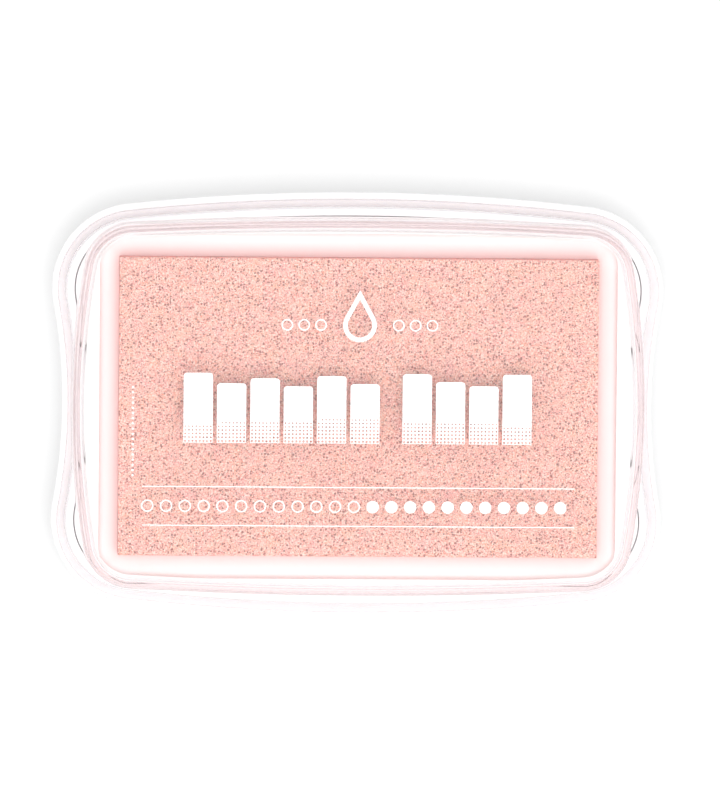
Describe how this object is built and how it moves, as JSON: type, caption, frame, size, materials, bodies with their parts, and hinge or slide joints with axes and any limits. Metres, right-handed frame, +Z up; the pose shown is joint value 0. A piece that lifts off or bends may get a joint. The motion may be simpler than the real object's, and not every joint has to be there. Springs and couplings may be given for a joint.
{
  "type": "ink pad",
  "caption": "Craft ink pad: a raised rectangular pink foam pad in a white moulded case, closed by a clear lift-off lid with a domed top, a stepped skirt and plain white printed marks.",
  "frame": {"origin": "centre of the case's foot ring, on the surface it stands on", "axes": "+X along the case's long sides, +Y across it towards the top of the lid's print, +Z up through the lid"},
  "size_m": [0.0952, 0.0662, 0.0191],
  "materials": {
    "case_white": "satin",
    "tray_white": "satin",
    "adhesive_film": "matte",
    "inked_felt": "matte",
    "inked_foam": "matte",
    "label_paper": "matte",
    "clear_plastic": "polished",
    "white_print": "satin"
  },
  "bodies": {
    "base": {"base_shell": "case_white", "pad_tray": "tray_white", "tray_adhesive": "adhesive_film", "reservoir_felt": "inked_felt", "ink_foam": "inked_foam", "underside_label": "label_paper"},
    "lid": {"lid_shell": "clear_plastic", "print_drop": "white_print", "print_bars": "white_print", "print_rules": "white_print", "print_rings": "white_print", "print_dots": "white_print", "print_side_mark": "white_print"}
  },
  "joints": [
    {"name": "lid_lift", "type": "slide", "parent": "base", "child": "lid", "axis": [0, 0, 1], "range_m": [0, 0.03]}
  ]
}
